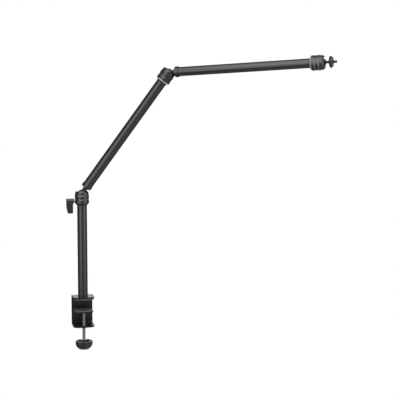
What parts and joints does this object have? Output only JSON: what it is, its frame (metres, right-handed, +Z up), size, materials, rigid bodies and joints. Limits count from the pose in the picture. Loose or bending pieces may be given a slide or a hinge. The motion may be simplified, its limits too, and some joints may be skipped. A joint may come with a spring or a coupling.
{
  "type": "articulating friction arm",
  "caption": "Desk-clamp friction arm for a camera: post and two tube arms joined by lockable ball joints, with a quarter-inch stud and lock disc at the tip.",
  "frame": {"origin": "underside of the jaw pad, on the axis of the post", "axes": "+Z up the post, -Y out of the open side of the clamp, +X to the right seen from that side; the arm leans to +X"},
  "size_m": [0.6041, 0.3523, 0.7445],
  "materials": {
    "black_anodised": "satin",
    "black_paint": "satin",
    "blackened_steel": "polished",
    "bright_steel": "satin",
    "black_plastic": "satin",
    "black_rubber": "matte",
    "brass": "satin"
  },
  "bodies": {
    "clamp": {"clamp_frame": "black_paint", "jaw_pad": "black_rubber", "post_bolt": "bright_steel", "post_plug": "black_anodised", "clamp_bush": "blackened_steel", "post_tube": "black_anodised", "base_collar": "black_anodised", "base_pressure_pin": "bright_steel", "base_ball_seat": "brass", "base_swivel_clip": "bright_steel"},
    "pressure_foot": {"pressure_plate": "black_paint", "pressure_pad": "black_rubber"},
    "screw": {"clamp_screw": "bright_steel", "clamp_knob": "black_plastic", "knob_nut": "bright_steel", "thrust_washer": "brass", "screw_clip": "bright_steel"},
    "base_lever": {"base_lock_screw": "bright_steel", "base_lock_lever": "black_plastic"},
    "base_cup": {"base_cup": "black_anodised", "base_cap": "black_anodised"},
    "lower_arm_stem": {"lower_arm_ball_stem": "blackened_steel", "lower_arm_stem_washer": "bright_steel", "lower_arm_stem_nut": "bright_steel"},
    "lower_arm": {"lower_arm_end_cap": "black_anodised", "lower_arm_tube": "black_anodised", "elbow_collar": "black_anodised", "elbow_pressure_pin": "bright_steel", "elbow_ball_seat": "brass", "elbow_swivel_clip": "bright_steel"},
    "elbow_lever": {"elbow_lock_screw": "bright_steel", "elbow_lock_lever": "black_plastic"},
    "elbow_cup": {"elbow_cup": "black_anodised", "elbow_cap": "black_anodised"},
    "upper_arm_stem": {"upper_arm_ball_stem": "blackened_steel", "upper_arm_stem_washer": "bright_steel", "upper_arm_stem_nut": "bright_steel"},
    "upper_arm": {"upper_arm_end_cap": "black_anodised", "upper_arm_tube": "black_anodised", "tip_collar": "black_anodised", "tip_pressure_pin": "bright_steel", "tip_ball_seat": "brass", "tip_swivel_clip": "bright_steel"},
    "tip_lever": {"tip_lock_screw": "bright_steel", "tip_lock_lever": "black_plastic"},
    "tip_cup": {"tip_cup": "black_anodised", "tip_cap": "black_anodised"},
    "tip_ball": {"tip_ball": "blackened_steel"},
    "camera_stud": {"camera_stud": "blackened_steel"},
    "disc_pad": {"disc_pad": "black_rubber"},
    "lock_disc": {"lock_disc": "black_anodised"}
  },
  "joints": [
    {"name": "jaw_travel", "type": "slide", "parent": "clamp", "child": "pressure_foot", "axis": [0, 0, 1], "range_m": [-0.0225, 0.0275]},
    {"name": "screw_turn", "type": "hinge", "parent": "pressure_foot", "child": "screw", "pos_m": [0, -0.013, -0.1255], "axis": [0, 0, 1], "range_deg": [-6481, 7921]},
    {"name": "base_lever_turn", "type": "hinge", "parent": "clamp", "child": "base_lever", "pos_m": [-0.0201, 0, 0.2529], "axis": [-1, 0, 0], "range_deg": [0, 90]},
    {"name": "base_pan", "type": "hinge", "parent": "clamp", "child": "base_cup", "pos_m": [0, 0, 0.272], "axis": [0, 0, 1], "continuous": true},
    {"name": "base_tilt", "type": "hinge", "parent": "base_cup", "child": "lower_arm_stem", "pos_m": [0, 0, 0.272], "axis": [0.3518, 0.9361, 0], "range_deg": [-66.3, 43.7]},
    {"name": "base_twist", "type": "hinge", "parent": "lower_arm_stem", "child": "lower_arm", "pos_m": [0, 0, 0.272], "axis": [0.5542, -0.2083, 0.8059], "continuous": true},
    {"name": "elbow_lever_turn", "type": "hinge", "parent": "lower_arm", "child": "elbow_lever", "pos_m": [0.20517, -0.0558, 0.56431], "axis": [0.2573, 0.9636, 0.0721], "range_deg": [0, 90]},
    {"name": "elbow_pan", "type": "hinge", "parent": "lower_arm", "child": "elbow_cup", "pos_m": [0.21058, -0.07915, 0.57825], "axis": [0.5542, -0.2083, 0.8059], "continuous": true},
    {"name": "elbow_tilt", "type": "hinge", "parent": "elbow_cup", "child": "upper_arm_stem", "pos_m": [0.21058, -0.07915, 0.57825], "axis": [0.5688, 0.8016, -0.1839], "range_deg": [-82.3, 27.7]},
    {"name": "elbow_twist", "type": "hinge", "parent": "upper_arm_stem", "child": "upper_arm", "pos_m": [0.21058, -0.07915, 0.57825], "axis": [0.8198, -0.5707, 0.0476], "continuous": true},
    {"name": "tip_lever_turn", "type": "hinge", "parent": "upper_arm", "child": "tip_lever", "pos_m": [0.52936, -0.27695, 0.59275], "axis": [0.5699, 0.8046, -0.1668], "range_deg": [0, 90]},
    {"name": "tip_pan", "type": "hinge", "parent": "upper_arm", "child": "tip_cup", "pos_m": [0.53356, -0.30402, 0.59701], "axis": [0.8198, -0.5707, 0.0476], "continuous": true},
    {"name": "tip_tilt", "type": "hinge", "parent": "tip_cup", "child": "tip_ball", "pos_m": [0.53356, -0.30402, 0.59701], "axis": [-0.4342, -0.5651, 0.7015], "range_deg": [-30, 80]},
    {"name": "tip_twist", "type": "hinge", "parent": "tip_ball", "child": "camera_stud", "pos_m": [0.53356, -0.30402, 0.59701], "axis": [0.8198, -0.5707, 0.0476], "continuous": true},
    {"name": "disc_travel", "type": "slide", "parent": "camera_stud", "child": "disc_pad", "axis": [0.8198, -0.5707, 0.0476], "range_m": [0, 0.00381]},
    {"name": "disc_turn", "type": "hinge", "parent": "disc_pad", "child": "lock_disc", "pos_m": [0.54873, -0.31458, 0.59789], "axis": [0.8198, -0.5707, 0.0476], "range_deg": [-1, 1081]}
  ],
  "couplings": [
    {"joint": "screw_turn", "follows": "jaw_travel", "rad_per_m": 5026.5},
    {"joint": "disc_turn", "follows": "disc_travel", "rad_per_m": 4947.4}
  ]
}
